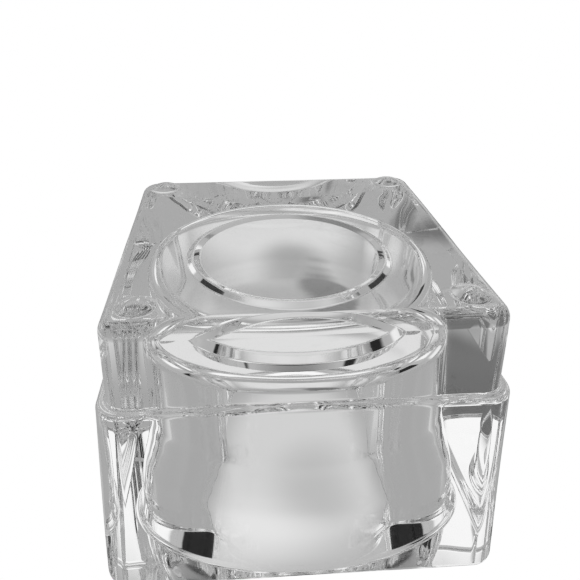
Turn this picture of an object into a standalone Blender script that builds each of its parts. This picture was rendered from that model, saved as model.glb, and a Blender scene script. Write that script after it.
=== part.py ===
"""Dappen dish: a square pressed-glass mixing dish standing upside down, with four bumper feet.

Frame, in metres: +Z up, origin at the centre of the mouth, which lies on the plane z = 0.
The dish rests on its mouth with its base upwards. -Y is the front, -X the left.
Turned over, it stands on the four feet.
"""
import math

import bmesh
import bpy
from mathutils import Vector

MM = 0.001

# ---------------------------------------------------------------- the glass body
BODY_H = 41.2 * MM            # mouth plane to base plane
FOOT_H = 11.8 * MM            # height of the narrower foot block next to the base
RIM_H = BODY_H - FOOT_H       # height of the wider rim block next to the mouth
MOUTH_SIDE = 55.6 * MM        # rim block, flat to flat at the mouth
LEDGE_SIDE = 52.8 * MM        # rim block, flat to flat at the ledge
FOOT_SIDE_LOW = 50.5 * MM     # foot block, flat to flat at the ledge
BASE_SIDE = 50.0 * MM         # foot block, flat to flat at the base
RIM_CORNER_R = 3.6 * MM       # upright corners of the rim block
FOOT_CORNER_R = 3.0 * MM      # upright corners of the foot block
MOUTH_EDGE_R = 1.2 * MM       # outer edge at the mouth
LEDGE_EDGE_R = 1.1 * MM       # outer edge of the ledge
BASE_EDGE_R = 2.0 * MM        # soft edge round the base
OVERLAP = 4.0 * MM            # how far the foot block runs down inside the rim block
CORNER_SEGMENTS = 7
EDGE_SEGMENTS = 3

# ---------------------------------------------------------------- the well
BASE_T = 9.5 * MM             # from the base plane to the disc in the middle of the well's floor
WAIST_R = 22.1 * MM           # narrowest radius of the wall
WAIST_Z = 19.0 * MM           # height above the mouth plane where the flare starts
MOUTH_GAIN = 2.65 * MM        # the wall flares this much from the waist to the mouth
MOUTH_FLARE_H = 17.0 * MM     # over this height
WELL_FILLET_R = 2.0 * MM      # fillet between wall and floor
FLOOR_DISC_R = 14.2 * MM      # edge of the flat disc in the floor
FLOOR_RING_R = 16.2 * MM      # inner edge of the flat ring round the disc
FLOOR_STEP_H = 0.5 * MM       # the ring is this much nearer the mouth
GROOVE_R = 15.3 * MM          # radius of the V groove's point, between disc and ring
GROOVE_DEPTH = 1.8 * MM       # from the ring to the point of the V before rounding
GROOVE_BLEND = 0.455 * MM     # how far along each flank the rounding of the V begins
GROOVE_ROUND = 0.245 * MM     # how much the rounding takes off the point
FLANK_EASE = 0.15 * MM        # softening where the flanks meet disc and ring
MOUTH_ROUND_R = 0.7 * MM      # rounding of the wall's edge at the mouth
MOUTH_ROUND_MID = 0.3 * MOUTH_ROUND_R    # its middle point, out from the wall and above the mouth
MOUTH_ROUND_OUT = 1.07 * MOUTH_ROUND_R   # its outer end, out from the wall
MOUTH_ROUND_BELOW = 0.05 * MM            # its outer end, below the mouth plane
WELL_TOOL_BELOW = 2.0 * MM    # how far the cutter runs past the mouth plane
TOOL_STEPS = 64               # steps round the well and the base hollow
WALL_STATIONS = 9
FILLET_SEGMENTS = 4

# ---------------------------------------------------------------- the hollow in the base
HOLLOW_DEPTH = 1.2 * MM       # at the middle of the base
HOLLOW_R = 22.5 * MM          # radius where the hollow meets the base plane
HOLLOW_SEGMENTS = 6           # from rim to middle
HOLLOW_TOOL_ABOVE = 2.0 * MM  # how far the cutter runs past the base plane
HOLLOW_TOOL_MARGIN = 0.4 * MM # how much wider the cutter is above the base plane
HOLLOW_TOOL_LIFT = 0.02 * MM  # gap from the base plane to the cutter's wider part

# ---------------------------------------------------------------- the feet
PAD_R = 2.6 * MM              # clear domed bumper, radius
PAD_H = 1.0 * MM              # height of the bumper
PAD_SKIRT_H = 0.25 * MM       # short upright edge under the dome
PAD_FLAT_R = 0.9 * MM         # flat on the crown
PAD_GAP = 0.3 * MM            # between pad and base plane
PAD_OFFSET = 20.6 * MM        # pad centres from the axis, along X and along Y
PAD_STEPS = 36
DOME_SEGMENTS = 7


# ---------------------------------------------------------------- scene, materials, objects
def clear_scene():
    for ob in list(bpy.data.objects):
        bpy.data.objects.remove(ob, do_unlink=True)
    for coll in list(bpy.data.collections):
        bpy.data.collections.remove(coll)


def collection(name):
    coll = bpy.data.collections.new(name)
    bpy.context.scene.collection.children.link(coll)
    return coll


def clear_material(name, colour, roughness, transmission, ior):
    mat = bpy.data.materials.new(name)
    mat.use_nodes = True
    inputs = mat.node_tree.nodes["Principled BSDF"].inputs
    inputs["Base Color"].default_value = colour
    inputs["Roughness"].default_value = roughness
    inputs["Metallic"].default_value = 0.0
    inputs["IOR"].default_value = ior
    inputs["Transmission Weight"].default_value = transmission
    mat.diffuse_color = colour
    return mat


def glass_material():
    return clear_material("clear_glass", colour=(0.93, 0.95, 0.95, 1.0),
                          roughness=0.02, transmission=1.0, ior=1.52)


def bumper_material():
    return clear_material("clear_bumper", colour=(0.90, 0.91, 0.91, 1.0),
                          roughness=0.12, transmission=0.9, ior=1.49)


def add_object(name, mesh, coll, mat=None):
    ob = bpy.data.objects.new(name, mesh)
    coll.objects.link(ob)
    if mat is not None:
        mesh.materials.append(mat)
    return ob


# ---------------------------------------------------------------- shapes
def bevel_edges(bm, edges, width, segments):
    bmesh.ops.bevel(
        bm, geom=edges, offset=width, offset_type="OFFSET", segments=segments,
        profile=0.5, affect="EDGES", clamp_overlap=True,
    )


def tapered_block(name, low_side, high_side, z_low, z_high, corner_r, low_edge_r, high_edge_r):
    """A square block with draft and rounded upright corners; an edge radius of 0 stays sharp."""
    bm = bmesh.new()
    bmesh.ops.create_cube(bm, size=1.0)
    for v in bm.verts:
        side, z = (low_side, z_low) if v.co.z < 0 else (high_side, z_high)
        v.co = Vector((math.copysign(side / 2, v.co.x), math.copysign(side / 2, v.co.y), z))
    half_height = (z_high - z_low) / 2
    upright = [e for e in bm.edges if abs(e.verts[0].co.z - e.verts[1].co.z) > half_height]
    bevel_edges(bm, upright, corner_r, CORNER_SEGMENTS)
    for z, radius in ((z_low, low_edge_r), (z_high, high_edge_r)):
        if radius > 0:
            ring = [e for e in bm.edges if all(abs(v.co.z - z) < 1e-7 for v in e.verts)]
            bevel_edges(bm, ring, radius, EDGE_SEGMENTS)
    bmesh.ops.recalc_face_normals(bm, faces=bm.faces)
    mesh = bpy.data.meshes.new(name)
    bm.to_mesh(mesh)
    bm.free()
    return mesh


def turned(name, profile, steps, coll, mat=None):
    """A solid turned about Z by a Screw modifier.

    The (radius, z) profile runs from the top of the axis, out and down, and back to the axis.
    """
    mesh = bpy.data.meshes.new(name)
    verts = [(x, 0.0, z) for x, z in profile]
    mesh.from_pydata(verts, [(i, i + 1) for i in range(len(verts) - 1)], [])
    ob = add_object(name, mesh, coll, mat)
    screw = ob.modifiers.new("turn", "SCREW")
    screw.axis = "Z"
    screw.steps = steps
    screw.render_steps = steps
    screw.use_merge_vertices = True
    screw.merge_threshold = 1e-6
    screw.use_smooth_shade = True
    return ob


def add_boolean(ob, name, operation, tool):
    """Join or cut with a helper object, which is then hidden from the render."""
    boolean = ob.modifiers.new(name, "BOOLEAN")
    boolean.operation = operation
    boolean.solver = "EXACT"
    boolean.object = tool
    tool.hide_render = True
    tool.display_type = "WIRE"


def smooth(ob, angle=32.0):
    """Smooth shading, with edges sharper than the angle in degrees kept sharp."""
    for poly in ob.data.polygons:
        poly.use_smooth = True
    ob.data.set_sharp_from_angle(angle=math.radians(angle))


# ---------------------------------------------------------------- profiles, as (radius, z)
def towards(start, end, distance):
    """The point this far from start on the way to end."""
    run, rise = end[0] - start[0], end[1] - start[1]
    length = math.hypot(run, rise)
    return (start[0] + run * distance / length, start[1] + rise * distance / length)


def wall_radius(z):
    """The wall is straight next to the floor and flares softly towards the mouth."""
    t = min(max((WAIST_Z - z) / MOUTH_FLARE_H, 0.0), 1.0)
    return WAIST_R + MOUTH_GAIN * (t * t * (3.0 - 2.0 * t))


def floor_profile(floor_z, ring_z):
    """Disc, rounded V groove and the start of the ring, outwards from the axis."""
    disc_edge = (FLOOR_DISC_R, floor_z)
    ring_edge = (FLOOR_RING_R, ring_z)
    point = (GROOVE_R, ring_z + GROOVE_DEPTH)
    return [
        (0.0, floor_z),
        (FLOOR_DISC_R - FLANK_EASE, floor_z),
        towards(disc_edge, point, FLANK_EASE),
        towards(point, disc_edge, GROOVE_BLEND),
        (GROOVE_R, point[1] - GROOVE_ROUND),
        towards(point, ring_edge, GROOVE_BLEND),
        towards(ring_edge, point, FLANK_EASE),
        (FLOOR_RING_R + FLANK_EASE, ring_z),
    ]


def well_profile():
    floor_z = BODY_H - BASE_T
    ring_z = floor_z - FLOOR_STEP_H
    profile = floor_profile(floor_z, ring_z)

    # fillet from the ring into the wall
    fillet_z = ring_z - WELL_FILLET_R
    fillet_x = wall_radius(fillet_z) - WELL_FILLET_R
    for i in range(FILLET_SEGMENTS + 1):
        angle = math.radians(90.0 - 90.0 * i / FILLET_SEGMENTS)
        profile.append((fillet_x + WELL_FILLET_R * math.cos(angle),
                        fillet_z + WELL_FILLET_R * math.sin(angle)))

    # wall down to the rounding at the mouth
    for i in range(1, WALL_STATIONS + 1):
        z = fillet_z + (MOUTH_ROUND_R - fillet_z) * i / WALL_STATIONS
        profile.append((wall_radius(z), z))

    mouth_r = wall_radius(MOUTH_ROUND_R)
    return profile + [
        (mouth_r + MOUTH_ROUND_MID, MOUTH_ROUND_MID),
        (mouth_r + MOUTH_ROUND_OUT, -MOUTH_ROUND_BELOW),
        (mouth_r + MOUTH_ROUND_OUT, -WELL_TOOL_BELOW),
        (0.0, -WELL_TOOL_BELOW),
    ]


def hollow_profile():
    """A shallow spherical cap, carried up past the base plane."""
    sphere_r = (HOLLOW_R ** 2 + HOLLOW_DEPTH ** 2) / (2 * HOLLOW_DEPTH)
    centre_z = BODY_H - HOLLOW_DEPTH + sphere_r
    half_angle = math.asin(HOLLOW_R / sphere_r)
    outer_r = HOLLOW_R + HOLLOW_TOOL_MARGIN
    top_z = BODY_H + HOLLOW_TOOL_ABOVE
    profile = [(0.0, top_z), (outer_r, top_z), (outer_r, BODY_H + HOLLOW_TOOL_LIFT)]
    for i in range(HOLLOW_SEGMENTS):
        angle = half_angle * (1 - i / HOLLOW_SEGMENTS)
        profile.append((sphere_r * math.sin(angle), centre_z - sphere_r * math.cos(angle)))
    return profile + [(0.0, BODY_H - HOLLOW_DEPTH)]


def pad_profile():
    """Flat crown, dome, short skirt and flat underside."""
    dome_h = PAD_H - PAD_SKIRT_H
    dome_w = PAD_R - PAD_FLAT_R
    profile = [(0.0, PAD_H)]
    for i in range(DOME_SEGMENTS + 1):
        angle = math.pi / 2 * i / DOME_SEGMENTS
        profile.append((PAD_FLAT_R + dome_w * math.sin(angle),
                        PAD_SKIRT_H + dome_h * math.cos(angle)))
    return profile + [(PAD_R, 0.0), (0.0, 0.0)]


# ---------------------------------------------------------------- pieces
def build_cup(dish, cutters, glass):
    """Rim block and foot block joined, then the well and the base hollow cut out."""
    rim_block = tapered_block(
        "glass_cup", low_side=MOUTH_SIDE, high_side=LEDGE_SIDE, z_low=0.0, z_high=RIM_H,
        corner_r=RIM_CORNER_R, low_edge_r=MOUTH_EDGE_R, high_edge_r=LEDGE_EDGE_R,
    )
    cup = add_object("glass_cup", rim_block, dish, glass)

    # the foot block keeps its draft down through the overlap
    foot_slope = (FOOT_SIDE_LOW - BASE_SIDE) / FOOT_H
    foot_block = tapered_block(
        "foot_block_tool", low_side=FOOT_SIDE_LOW + foot_slope * OVERLAP, high_side=BASE_SIDE,
        z_low=RIM_H - OVERLAP, z_high=BODY_H,
        corner_r=FOOT_CORNER_R, low_edge_r=0.0, high_edge_r=BASE_EDGE_R,
    )
    foot_tool = add_object("foot_block_tool", foot_block, cutters, glass)
    add_boolean(cup, "foot_block", "UNION", foot_tool)

    well_tool = turned("well_tool", well_profile(), TOOL_STEPS, cutters)
    add_boolean(cup, "well", "DIFFERENCE", well_tool)

    hollow_tool = turned("base_hollow_tool", hollow_profile(), TOOL_STEPS, cutters)
    add_boolean(cup, "base_hollow", "DIFFERENCE", hollow_tool)
    smooth(cup)
    return cup


def build_pads(dish, cup, bumper):
    """One clear domed bumper near each corner of the base."""
    for depth, y_sign in (("front", -1), ("back", 1)):
        for side, x_sign in (("left", -1), ("right", 1)):
            pad = turned(f"foot_pad_{depth}_{side}", pad_profile(), PAD_STEPS, dish, bumper)
            pad.location = (x_sign * PAD_OFFSET, y_sign * PAD_OFFSET, BODY_H + PAD_GAP)
            pad.parent = cup


def main():
    clear_scene()
    dish = collection("dappen_dish")
    cutters = collection("cutters")
    cutters.hide_render = True
    cup = build_cup(dish, cutters, glass_material())
    build_pads(dish, cup, bumper_material())


main()
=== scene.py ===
"""Pressed-glass dappen dish, standing mouth down on z = 0 with its base up.

Five pieces, all on the CAD body "root":
  dish_glass                 the one-piece glass cup, replaces the CAD node glass_cup
  bumper_front_left ...      the four clear domed bumpers, replace the four foot_pad nodes
+Z is up, +X is right and +Y is away from the camera.
Lengths are in millimetres in the shape code and are scaled by MM into metres.
"""

import math

import bmesh
import bpy
import numpy as np
from mathutils import Matrix, Vector, noise


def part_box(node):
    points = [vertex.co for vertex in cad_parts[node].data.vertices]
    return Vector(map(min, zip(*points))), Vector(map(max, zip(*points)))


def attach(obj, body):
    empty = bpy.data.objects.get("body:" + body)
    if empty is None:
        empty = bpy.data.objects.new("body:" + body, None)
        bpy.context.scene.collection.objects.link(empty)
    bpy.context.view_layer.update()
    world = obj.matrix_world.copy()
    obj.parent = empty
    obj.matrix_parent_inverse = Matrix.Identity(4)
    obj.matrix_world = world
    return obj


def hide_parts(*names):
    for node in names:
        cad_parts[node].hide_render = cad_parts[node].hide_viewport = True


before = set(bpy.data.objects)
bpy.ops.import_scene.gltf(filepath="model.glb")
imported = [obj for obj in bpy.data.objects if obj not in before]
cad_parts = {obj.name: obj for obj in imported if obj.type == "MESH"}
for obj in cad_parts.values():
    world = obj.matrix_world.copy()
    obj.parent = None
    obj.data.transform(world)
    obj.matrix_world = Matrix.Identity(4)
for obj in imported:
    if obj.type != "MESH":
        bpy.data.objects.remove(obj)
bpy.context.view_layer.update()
MM = 0.001

# ---------------------------------------------------------------- dimensions
cup_low, cup_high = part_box("glass_cup")
CUP_X = (cup_low.x + cup_high.x) / 2 / MM
CUP_Y = (cup_low.y + cup_high.y) / 2 / MM
H = cup_high.z / MM                # height of the glass alone
FOOT_H = 11.8                      # narrower block next to the base
LEDGE_Z = H - FOOT_H
HW_MOUTH = 27.8                    # half widths of the four sides
HW_LEDGE = 26.4
HW_FOOT = 25.25
HW_BASE = 25.0
R_MOUTH = 1.1                      # edge rounds, from the mouth up
R_LEDGE = 0.7                      # with R_NOOK it must fit the ledge, HW_LEDGE - HW_FOOT
R_NOOK = 0.4
R_BASE = 2.0
MOUTH_RUN = 1.17                   # flat widths kept beside the mouth, base and lip rounds
BASE_RUN = 3.0
LIP_RUN = 0.82
RC_FOOT = 3.0                      # vertical corner rounds
RC_RIM = 3.6
RC_MIN = 0.4
LEDGE_BLEND_H = 3                  # height below the ledge where the corner round blends

# The well's wall: (height, radius)
WALL = [(0, 25.0), (3, 24.6), (6, 24.3), (9, 23.8), (12, 23.0), (15, 22.4),
        (18, 22.1), (20, 22.1), (24, 22.1), (28, 22.1), (31.2, 22.1)]
R_LIP = 0.9
LIP_TOP = 2.0
WALL_START = 2.4
WALL_STEP = 0.4
R_FLOOR = 2.0
Z_FLOOR = 31.2
Z_DISC = 31.7                      # the middle of the well's floor is pressed a little deeper
DISC_R = 14.2
DISC_FLAT_R = 6.0                  # inside this the disc closes in even rings
STEP_R = 16.2
R_STEP = 0.3
GROOVE_R = 15.3                    # shallow groove pressed round the disc
Z_GROOVE = 33.0
R_GROOVE = 0.3
WELL_SHIFT_MOUTH = 0.6             # the well's offset along +X at the mouth
WELL_SHIFT_FLOOR = 0.1             # and at WELL_SHIFT_H
WELL_SHIFT_H = 31.0

SIDE_PTS = 56                      # points along each side and round each corner
CORNER_PTS = 32
ARC_STEPS = 8                      # steps in each profile round
END_GAP = 0.06                     # spacing of the points held next to a round
DISC_RINGS = 8
RIM_RINGS = 6
BASE_RINGS = 24

BASE_CIRCLE_R = 22                 # circle the base rings turn into
BASE_CIRCLE_RATE = 1.6
BASE_DISH = 1.2                    # the base is pressed slightly hollow
BASE_DISH_R = 22.5
BASE_DISH_SOFT = 0.06
BASE_DISH_LIMIT = 1.6              # squared radius, over BASE_DISH_R squared, where it stops

WAVE = 0.12                        # faint unevenness of the fire-polished surface
WAVE_SCALE = 45.0                  # broad and fine waves, per metre
FINE_SCALE = 110.0
FINE_SHARE = 0.22
FINE_OFFSET = Vector((7, 3, 1))
REST_H = 0.2                       # below this the glass stays flat

PAD_R = 2.6
PAD_EDGE = 0.25                    # height of the skirt
PAD_LIFT = 0.02                    # gap to the base plane
PAD_INSET = 0.12                   # the cap is this much smaller in radius than the skirt
PAD_DROP = 0.3                     # the crown sits this far below the CAD pad's top
PAD_SIDES = 72
PAD_FACE_RINGS = 6
PAD_CAP_STOPS = 22


# ---------------------------------------------------------------- contours
def rounded_square(half, corner):
    """Anticlockwise contour with the same point count and order for every size."""
    contour = []
    flat = half - corner
    for k in range(4):
        turn = math.radians(90 * k)
        c, s = math.cos(turn), math.sin(turn)
        points = [(half, -flat + 2 * flat * i / SIDE_PTS) for i in range(SIDE_PTS)]
        for i in range(CORNER_PTS):
            angle = math.pi / 2 * i / CORNER_PTS
            points.append((flat + corner * math.cos(angle), flat + corner * math.sin(angle)))
        contour += [(x * c - y * s, x * s + y * c) for x, y in points]
    return np.array(contour)


# Circles take their point angles from one typical square, so rings join without twist.
typical_square = rounded_square(26.5, 4.0)
ANGLES = np.arctan2(typical_square[:, 1], typical_square[:, 0])
RING = len(ANGLES)


def circle(radius):
    return np.c_[radius * np.cos(ANGLES), radius * np.sin(ANGLES)]


def straight_run(start, end):
    """Points strictly between the ends, with one held close to each so rounds stay crisp."""
    dx, dy = end[0] - start[0], end[1] - start[1]
    length = math.hypot(dx, dy)
    if length < 1e-6:
        return []
    steps = max(2, int(np.linalg.norm(np.subtract(end, start))) + 1)
    gap = min(END_GAP / length, 0.3 / steps)
    shares = [gap] + [i / steps for i in range(1, steps)] + [1 - gap]
    return [(start[0] + dx * share, start[1] + dy * share) for share in shares]


def rounded_profile(points, radii):
    """Open polyline with each inner corner replaced by an arc of its own radius."""
    points = [np.array(point, float) for point in points]
    last = points[0]
    profile = [tuple(last)]
    for before, corner, after, radius in zip(points, points[1:], points[2:], radii):
        back = (before - corner) / np.linalg.norm(before - corner)
        ahead = (after - corner) / np.linalg.norm(after - corner)
        opening = math.acos(float(np.clip(np.dot(back, ahead), -1, 1)))
        reach = radius / math.tan(opening / 2)
        start, end = corner + back * reach, corner + ahead * reach
        bisector = (back + ahead) / np.linalg.norm(back + ahead)
        centre = corner + bisector * (radius / math.sin(opening / 2))
        profile += straight_run(tuple(last), tuple(start))
        profile.append(tuple(start))
        angle0 = math.atan2(*(start - centre)[::-1])
        angle1 = math.atan2(*(end - centre)[::-1])
        sweep = (angle1 - angle0 + math.pi) % (2 * math.pi) - math.pi
        for k in range(1, ARC_STEPS):
            angle = angle0 + sweep * k / ARC_STEPS
            profile.append((centre[0] + radius * math.cos(angle),
                            centre[1] + radius * math.sin(angle)))
        profile.append(tuple(end))
        last = end
    profile += straight_run(tuple(last), tuple(points[-1]))
    profile.append(tuple(points[-1]))
    return profile


def wall_radius(z):
    """Smooth monotone-cubic curve through the wall's stations."""
    heights, radii = np.array(WALL, float).T
    gaps = np.diff(heights)
    slopes = np.diff(radii) / gaps
    tangents = np.zeros(len(heights))
    for i in range(1, len(heights) - 1):
        if slopes[i - 1] * slopes[i] > 0:
            weight0 = 2 * gaps[i] + gaps[i - 1]
            weight1 = gaps[i] + 2 * gaps[i - 1]
            tangents[i] = (weight0 + weight1) / (weight0 / slopes[i - 1] + weight1 / slopes[i])
    tangents[0], tangents[-1] = slopes[0], slopes[-1]
    i = int(np.clip(np.searchsorted(heights, z) - 1, 0, len(heights) - 2))
    t = (z - heights[i]) / gaps[i]
    return float((2 * t ** 3 - 3 * t ** 2 + 1) * radii[i]
                 + (t ** 3 - 2 * t ** 2 + t) * gaps[i] * tangents[i]
                 + (-2 * t ** 3 + 3 * t ** 2) * radii[i + 1]
                 + (t ** 3 - t ** 2) * gaps[i] * tangents[i + 1])


def well_profile():
    """(radius, height) from the rim face, up the wall, round the fillet and over the floor."""
    wall_top = Z_FLOOR - R_FLOOR * 1.05
    mouth_r = wall_radius(0)
    lip = rounded_profile(
        [(mouth_r + LIP_RUN, 0), (mouth_r, 0), (wall_radius(LIP_TOP), LIP_TOP)], [R_LIP])
    wall = [(wall_radius(z), z) for z in np.arange(WALL_START, wall_top - 0.2, WALL_STEP)]
    floor = rounded_profile(
        [(wall_radius(wall_top), wall_top), (wall_radius(Z_FLOOR), Z_FLOOR), (STEP_R, Z_FLOOR),
         (GROOVE_R, Z_GROOVE), (DISC_R, Z_DISC), (DISC_FLAT_R, Z_DISC)],
        [R_FLOOR, R_STEP, R_GROOVE, R_STEP])
    return lip + wall + floor


# ---------------------------------------------------------------- the glass
def corner_radius(half, z):
    """Corner rounding that follows the edge rounds as parallel offsets of the sides."""
    if z < LEDGE_Z + 0.01:
        side = HW_MOUTH + (HW_LEDGE - HW_MOUTH) * (z / LEDGE_Z)
        if z > LEDGE_Z - LEDGE_BLEND_H:
            inset = min(max((side - half) / (HW_LEDGE - HW_FOOT), 0), 1)
            return RC_RIM + (RC_FOOT - RC_RIM) * inset
        return RC_RIM - (side - half)
    side = HW_FOOT + (HW_BASE - HW_FOOT) * ((z - LEDGE_Z) / FOOT_H)
    return max(RC_FOOT - (side - half), RC_MIN)


def outside_rings():
    """(contour, height) from the rim face up the sides and over the base."""
    profile = rounded_profile(
        [(HW_MOUTH - MOUTH_RUN, 0), (HW_MOUTH, 0), (HW_LEDGE, LEDGE_Z), (HW_FOOT, LEDGE_Z),
         (HW_BASE, H), (HW_BASE - BASE_RUN, H)],
        [R_MOUTH, R_LEDGE, R_NOOK, R_BASE])
    rings = [(rounded_square(half, corner_radius(half, z)), z) for half, z in profile]
    edge = rings[-1][0]
    for i in range(1, BASE_RINGS):                # the base face closes towards its middle
        share = i / BASE_RINGS
        round_share = min(1, share * BASE_CIRCLE_RATE)
        rings.append((edge * (1 - share) * (1 - round_share)
                      + circle(BASE_CIRCLE_R * (1 - share)) * round_share, H))
    return rings


def well_rings():
    """(contour, height) from the rim face up the well to the middle of its floor."""
    rings = []
    for radius, z in well_profile():
        shift = WELL_SHIFT_MOUTH + (WELL_SHIFT_FLOOR - WELL_SHIFT_MOUTH) * z / WELL_SHIFT_H
        rings.append((circle(radius) + np.array([[shift, 0.0]]), z))
    for i in range(1, DISC_RINGS):
        contour = circle(DISC_FLAT_R * (1 - i / DISC_RINGS))
        rings.append((contour + np.array([[WELL_SHIFT_FLOOR, 0.0]]), Z_DISC))
    return rings


def press_base(verts):
    """Hollows the base as a parabola with a soft rim."""
    base = verts[:, 2] > H - 1e-6
    square = (verts[base, 0] ** 2 + verts[base, 1] ** 2) / BASE_DISH_R ** 2
    depth = (np.log1p(np.exp(np.clip((1 - square) / BASE_DISH_SOFT, -50, 50)))
             * BASE_DISH_SOFT)
    verts[base, 2] -= BASE_DISH * np.where(square < BASE_DISH_LIMIT, depth, 0.0)


def ring_quads(rings, count):
    """Quads joining each ring of count points to the next."""
    faces = []
    for j in range(rings - 1):
        for i in range(count):
            k = (i + 1) % count
            faces.append((j * count + i, j * count + k, (j + 1) * count + k, (j + 1) * count + i))
    return faces


def new_mesh(name, verts, faces):
    """Smooth-shaded mesh in metres from vertices in millimetres."""
    mesh = bpy.data.meshes.new(name)
    mesh.from_pydata((np.asarray(verts, float) * MM).tolist(), [], faces)
    bm = bmesh.new()
    bm.from_mesh(mesh)
    bmesh.ops.recalc_face_normals(bm, faces=bm.faces)
    bm.to_mesh(mesh)
    bm.free()
    mesh.polygons.foreach_set("use_smooth", [True] * len(mesh.polygons))
    mesh.update()
    return mesh


def glass_mesh():
    outside, inside = outside_rings(), well_rings()
    outer, inner = outside[0][0], inside[0][0]    # edges of the narrow flat the dish stands on
    rim = [(outer * (1 - k / RIM_RINGS) + inner * k / RIM_RINGS, 0.0)
           for k in range(1, RIM_RINGS)]
    rings = inside[::-1] + rim[::-1] + outside
    verts = np.concatenate([np.c_[contour, np.full(RING, z)] for contour, z in rings]
                           + [[[WELL_SHIFT_FLOOR, 0, Z_DISC], [0, 0, H]]])
    press_base(verts)
    verts[:, 0] += CUP_X
    verts[:, 1] += CUP_Y
    faces = ring_quads(len(rings), RING)
    well_centre = len(rings) * RING
    last_ring = well_centre - RING
    for i in range(RING):
        k = (i + 1) % RING
        faces.append((well_centre, k, i))
        faces.append((well_centre + 1, last_ring + i, last_ring + k))
    return new_mesh("dish_glass", verts, faces)


def add_unevenness(mesh):
    """Moves each vertex along its normal by a smooth noise, as pressed glass is never flat."""
    places = np.zeros(len(mesh.vertices) * 3)
    normals = np.zeros(len(mesh.vertices) * 3)
    mesh.vertices.foreach_get("co", places)
    mesh.vertices.foreach_get("normal", normals)
    places, normals = places.reshape(-1, 3), normals.reshape(-1, 3)
    wave = np.array([noise.noise(Vector(place) * WAVE_SCALE)
                     + FINE_SHARE * noise.noise(Vector(place) * FINE_SCALE + FINE_OFFSET)
                     for place in places])
    wave[np.abs(places[:, 2]) < REST_H * MM] = 0  # the rim face stays flat where it stands
    places += normals * (wave * WAVE * MM)[:, None]
    mesh.vertices.foreach_set("co", places.ravel())
    mesh.update()


# ---------------------------------------------------------------- the bumpers
def bumper_mesh(name, centre_x, centre_y, top):
    """Domed self-adhesive bumper: a flat adhesive face, a short skirt and a spherical cap."""
    bottom = H + PAD_LIFT
    crown = top - bottom - PAD_EDGE
    cap_r = PAD_R - PAD_INSET
    sphere_r = (cap_r * cap_r + crown * crown) / (2 * crown)
    profile = [(PAD_R * k / PAD_FACE_RINGS, bottom) for k in range(1, PAD_FACE_RINGS)]
    profile += [(PAD_R, bottom), (PAD_R, bottom + PAD_EDGE * 0.6),
                (PAD_R - 0.03, bottom + PAD_EDGE * 0.85), (cap_r, bottom + PAD_EDGE + 0.04)]
    for share in np.linspace(0, 1, PAD_CAP_STOPS)[1:-1]:
        r = cap_r * (1 - share)
        profile.append((r, bottom + PAD_EDGE + math.sqrt(sphere_r * sphere_r - r * r)
                        - (sphere_r - crown)))
    verts = []
    for r, z in profile:
        for i in range(PAD_SIDES):
            angle = 2 * math.pi * i / PAD_SIDES
            verts.append((centre_x + r * math.cos(angle), centre_y + r * math.sin(angle), z))
    faces = ring_quads(len(profile), PAD_SIDES)
    face_centre = len(verts)
    last_ring = face_centre - PAD_SIDES
    verts += [(centre_x, centre_y, bottom), (centre_x, centre_y, top)]
    for i in range(PAD_SIDES):
        k = (i + 1) % PAD_SIDES
        faces.append((face_centre, k, i))
        faces.append((last_ring + i, last_ring + k, face_centre + 1))
    return new_mesh(name, verts, faces)


# ---------------------------------------------------------------- node helpers
def add_node(tree, kind, inputs=None, **settings):
    """New node; each input is given a value, or linked if a socket is passed."""
    node = tree.nodes.new(kind)
    for key, value in settings.items():
        setattr(node, key, value)
    for key, value in (inputs or {}).items():
        if isinstance(value, bpy.types.NodeSocket):
            tree.links.new(value, node.inputs[key])
        else:
            node.inputs[key].default_value = value
    return node


def calc(tree, operation, *values):
    return add_node(tree, "ShaderNodeMath", dict(enumerate(values)),
                    operation=operation).outputs[0]


def distance(tree, dx, dy):
    squares = calc(tree, "ADD", calc(tree, "MULTIPLY", dx, dx), calc(tree, "MULTIPLY", dy, dy))
    return calc(tree, "SQRT", squares)


def remap(tree, value, source, target, **settings):
    """Map Range from the source (low, high) to the target pair."""
    return add_node(tree, "ShaderNodeMapRange", {
        "Value": value, "From Min": source[0], "From Max": source[1],
        "To Min": target[0], "To Max": target[1]}, **settings).outputs["Result"]


def fade(tree, value, middle, half_soft):
    """1 below the soft edge round middle, 0 above it, smooth between."""
    return remap(tree, value, (middle - half_soft, middle + half_soft), (1.0, 0.0),
                 interpolation_type="SMOOTHSTEP")


def darken(tree, value, mask, amount):
    keep = calc(tree, "SUBTRACT", 1.0, calc(tree, "MULTIPLY", mask, amount))
    return calc(tree, "MULTIPLY", value, keep)


def lighten(tree, value, mask, amount):
    return calc(tree, "ADD", value, calc(tree, "MULTIPLY", mask, amount))


def white_to_camera(tree, value):
    """White for rays straight from the lens, the value for all others."""
    path = add_node(tree, "ShaderNodeLightPath")
    return add_node(tree, "ShaderNodeMix",
                    {0: path.outputs["Is Camera Ray"], 2: value, 3: 1.0},
                    data_type="FLOAT").outputs[0]


# ---------------------------------------------------------------- materials
def joint_mask(tree):
    """1 on both faces of the joint between the base and each bumper."""
    position = add_node(tree, "ShaderNodeNewGeometry").outputs["Position"]
    x, y, z = add_node(tree, "ShaderNodeSeparateXYZ", {0: position}).outputs
    mask = None
    for centre_x, centre_y, _ in pads.values():
        radius = distance(tree, calc(tree, "SUBTRACT", x, centre_x),
                          calc(tree, "SUBTRACT", y, centre_y))
        inside = calc(tree, "LESS_THAN", radius, (PAD_R - 0.01) * MM)
        mask = inside if mask is None else calc(tree, "MAXIMUM", mask, inside)
    above = calc(tree, "GREATER_THAN", z, (H - 0.3) * MM)
    below = calc(tree, "LESS_THAN", z, (H + PAD_LIFT + 0.06) * MM)
    return calc(tree, "MULTIPLY", mask, calc(tree, "MULTIPLY", above, below))


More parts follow.
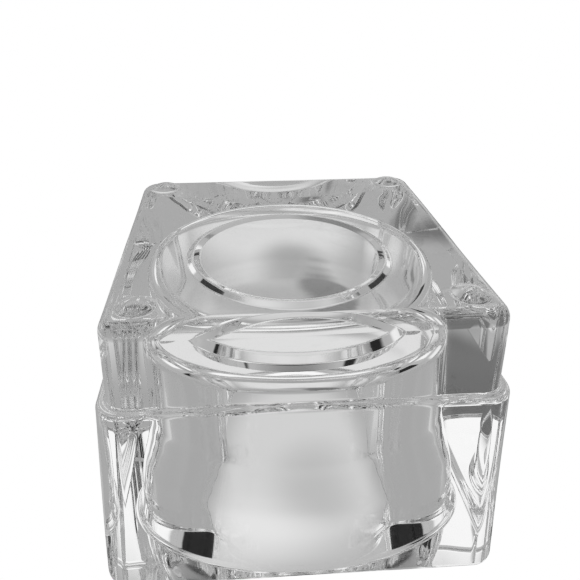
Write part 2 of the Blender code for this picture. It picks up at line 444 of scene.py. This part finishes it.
def glass_material(name, ior, smudge, ripple):
    """Clear moulded material with a film of handling marks and a slight ripple (in mm).

    Where a bumper is stuck on, the adhesive fills the joint and light passes straight through,
    so both faces of the joint are transparent inside the bumper's outline."""
    material = bpy.data.materials.new(name)
    material.use_nodes = True
    tree = material.node_tree
    bsdf = tree.nodes["Principled BSDF"]
    bsdf.inputs["Base Color"].default_value = (0.995, 0.995, 0.995, 1)
    bsdf.inputs["Transmission Weight"].default_value = 1.0
    bsdf.inputs["IOR"].default_value = ior
    place = add_node(tree, "ShaderNodeTexCoord").outputs["Object"]
    film = add_node(tree, "ShaderNodeTexNoise", {"Vector": place, "Scale": 140.0, "Detail": 4.0})
    roughness = remap(tree, film.outputs["Fac"], source=(0.5, 0.75), target=(0.0, smudge))
    tree.links.new(roughness, bsdf.inputs["Roughness"])
    grain = add_node(tree, "ShaderNodeTexNoise", {"Vector": place, "Scale": 420.0, "Detail": 2.0})
    bump = add_node(tree, "ShaderNodeBump", {
        "Strength": 1.0, "Distance": ripple * MM, "Height": grain.outputs["Fac"]})
    tree.links.new(bump.outputs["Normal"], bsdf.inputs["Normal"])
    mask = joint_mask(tree)
    clear = add_node(tree, "ShaderNodeBsdfTransparent")
    mix = add_node(tree, "ShaderNodeMixShader", {0: mask, 1: bsdf.outputs[0], 2: clear.outputs[0]})
    tree.links.new(mix.outputs[0], tree.nodes["Material Output"].inputs["Surface"])
    return material


# ---------------------------------------------------------------- pieces
def add_object(name, data):
    thing = bpy.data.objects.new(name, data)
    bpy.context.scene.collection.objects.link(thing)
    return thing


def add_piece(mesh, material, cad_node):
    mesh.materials.append(material)
    piece = add_object(mesh.name, mesh)
    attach(piece, "root")
    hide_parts(cad_node)


pads = {}                          # centre x and y and the CAD top, in metres
for pad in ("front_left", "front_right", "back_left", "back_right"):
    low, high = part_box("foot_pad_" + pad)
    pads[pad] = ((low.x + high.x) / 2, (low.y + high.y) / 2, high.z)

clear_glass = glass_material("clear_glass_pressed", ior=1.52, smudge=0.02, ripple=0.0002)
clear_bumper = glass_material("clear_bumper_moulded", ior=1.50, smudge=0.04, ripple=0.0003)

dish_mesh = glass_mesh()
add_unevenness(dish_mesh)
add_piece(dish_mesh, clear_glass, "glass_cup")
for pad, (x, y, top) in pads.items():
    add_piece(bumper_mesh("bumper_" + pad, x / MM, y / MM, top / MM - PAD_DROP),
              clear_bumper, "foot_pad_" + pad)

# ---------------------------------------------------------------- floor
TABLE_HALF = 3.0                   # metres
TABLE_Z = -0.0001
TABLE_GREY = 0.40
# Soft ellipses of painted light and shade on the table: (change, centre x, centre y, half x, half
# y, softness, amount)
TABLE_PAINTED_LIGHT_SHADE = [
    (lighten, 0, -4, 22, 20, 0.3, 0.20),     # light gathered inside the well
    # painted mottling of light and shade inside the well
    (lighten, -9, -16, 10, 7, 0.8, 0.14),
    (darken, 4, -8, 9, 6, 0.8, 0.16),
    (lighten, 0, 82, 66, 36, 0.4, 0.28),     # painted light on the table behind the dish
    (darken, 8, 54, 13, 10, 0.8, 0.42),      # shade behind the dish
    # deeper painted shade close behind the dish's right side
    (darken, 18, 36, 10, 13, 0.3, 0.54),
]


def table_material():
    """Pale table, white to the lens; through the glass it glows grey, with soft ellipses of
    painted light and shade.
    """
    material = bpy.data.materials.new("table_pale_painted_light_shade")
    material.use_nodes = True
    tree = material.node_tree
    tree.nodes.clear()
    output = add_node(tree, "ShaderNodeOutputMaterial")
    position = add_node(tree, "ShaderNodeNewGeometry").outputs["Position"]
    x, y, _ = add_node(tree, "ShaderNodeSeparateXYZ", {0: position}).outputs
    value = TABLE_GREY
    # paint each soft ellipse of light or shade into the table's glow
    for change, centre_x, centre_y, half_x, half_y, softness, amount in TABLE_PAINTED_LIGHT_SHADE:
        dx = calc(tree, "DIVIDE", calc(tree, "SUBTRACT", x, centre_x * MM), half_x * MM)
        dy = calc(tree, "DIVIDE", calc(tree, "SUBTRACT", y, centre_y * MM), half_y * MM)
        mask = fade(tree, distance(tree, dx, dy), 1, softness)
        value = change(tree, value, mask, amount)
    emission = add_node(tree, "ShaderNodeEmission", {
        "Color": (1, 1, 1, 1), "Strength": white_to_camera(tree, value)})
    tree.links.new(emission.outputs[0], output.inputs["Surface"])
    return material


table_mesh = bpy.data.meshes.new("table")
table_mesh.from_pydata([(x * TABLE_HALF, y * TABLE_HALF, TABLE_Z)
                        for x, y in ((-1, -1), (1, -1), (1, 1), (-1, 1))], [], [(0, 1, 2, 3)])
table_mesh.materials.append(table_material())
add_object("table", table_mesh)

# ---------------------------------------------------------------- studio light
# Grey of the tent: (sine of the elevation, brightness)
TENT = [(0.0, 0.44), (0.3, 0.42), (0.52, 0.46), (0.77, 0.46),
        (0.88, 0.36), (0.945, 0.26), (0.97, 0.01), (1.0, 0.0)]
TENT_FAR_GAIN = 0.12               # brighter towards +Y
STRIP_GAIN = 0.46
FILL_GAIN = 0.34
FLAG_DEPTH = 0.97
# Patches in degrees; azimuth 0 is +Y and 90 is +X
STRIP = dict(azimuth=-5, half_width=58, elevation=42, half_height=9, softness=10.0)
FILL = dict(azimuth=32, half_width=26, elevation=8, half_height=10, softness=12.0)
FLAG_LEFT = dict(azimuth=-112, half_width=24, elevation=32, half_height=13, softness=4.0)
FLAG_RIGHT = dict(azimuth=102, half_width=22, elevation=31, half_height=13, softness=4.0)


def studio_world():
    """White seamless for the lens; for light that reaches the glass, a grey tent that is dim
    overhead, a soft strip half way up on the far side, a low fill on the far right,
    and a dark flag on the left and on the right."""
    world = bpy.data.worlds.new("studio")
    world.use_nodes = True
    tree = world.node_tree
    direction = add_node(tree, "ShaderNodeTexCoord").outputs["Generated"]
    x, y, z = add_node(tree, "ShaderNodeSeparateXYZ", {0: direction}).outputs
    ramp = add_node(tree, "ShaderNodeValToRGB", {0: z})
    stops = ramp.color_ramp.elements
    for i, (place, grey) in enumerate(TENT):
        stop = stops[i] if i < 2 else stops.new(place)
        stop.position = place
        stop.color = (grey, grey, grey, 1)
    far_gain = calc(tree, "ADD", 1.0, calc(tree, "MULTIPLY", y, TENT_FAR_GAIN))
    value = calc(tree, "MULTIPLY", ramp.outputs[0], far_gain)
    to_degrees = 180 / math.pi
    across = calc(tree, "MULTIPLY", calc(tree, "ARCTAN2", x, y), to_degrees)
    up = calc(tree, "MULTIPLY", calc(tree, "ARCSINE", z), to_degrees)

    def patch(azimuth, half_width, elevation, half_height, softness):
        off_across = calc(tree, "ABSOLUTE", calc(tree, "SUBTRACT", across, azimuth))
        off_up = calc(tree, "ABSOLUTE", calc(tree, "SUBTRACT", up, elevation))
        return calc(tree, "MULTIPLY", fade(tree, off_across, half_width, softness / 2),
                    fade(tree, off_up, half_height, softness / 2))

    value = lighten(tree, value, patch(**STRIP), STRIP_GAIN)
    value = lighten(tree, value, patch(**FILL), FILL_GAIN)
    flags = calc(tree, "MAXIMUM", patch(**FLAG_LEFT), patch(**FLAG_RIGHT))
    value = darken(tree, value, flags, FLAG_DEPTH)
    background = tree.nodes["Background"]
    background.inputs["Color"].default_value = (1, 1, 1, 1)
    tree.links.new(white_to_camera(tree, value), background.inputs["Strength"])
    return world


scene = bpy.context.scene
scene.world = studio_world()

# ---------------------------------------------------------------- camera and render
lens = bpy.data.cameras.new("camera")
camera = add_object("camera", lens)
camera.matrix_world = Matrix(((0.998045, 0.031807, -0.053802, -0.008603),
                              (-0.062212, 0.422941, -0.904019, -0.082339),
                              (-0.005999, 0.905599, 0.424093, 0.078794),
                              (0, 0, 0, 1)))
lens.sensor_width = 36.0
lens.lens = 36.68
lens.shift_x = 0.0441
lens.shift_y = -0.0892
lens.clip_start = 0.001
scene.camera = camera

TONE_CURVE = [(0.05, 0.022), (0.20, 0.150), (0.44, 0.435), (0.68, 0.755)]   # a gentle S
scene.view_settings.view_transform = "Standard"
scene.view_settings.use_curve_mapping = True
curve = scene.view_settings.curve_mapping
for tone_in, tone_out in TONE_CURVE:
    curve.curves[3].points.new(tone_in, tone_out)
curve.update()
scene.cycles.max_bounces = 32
scene.cycles.transmission_bounces = 32
scene.cycles.glossy_bounces = 16
scene.cycles.transparent_max_bounces = 32
scene.cycles.caustics_refractive = True
scene.cycles.caustics_reflective = True

bpy.context.view_layer.update()
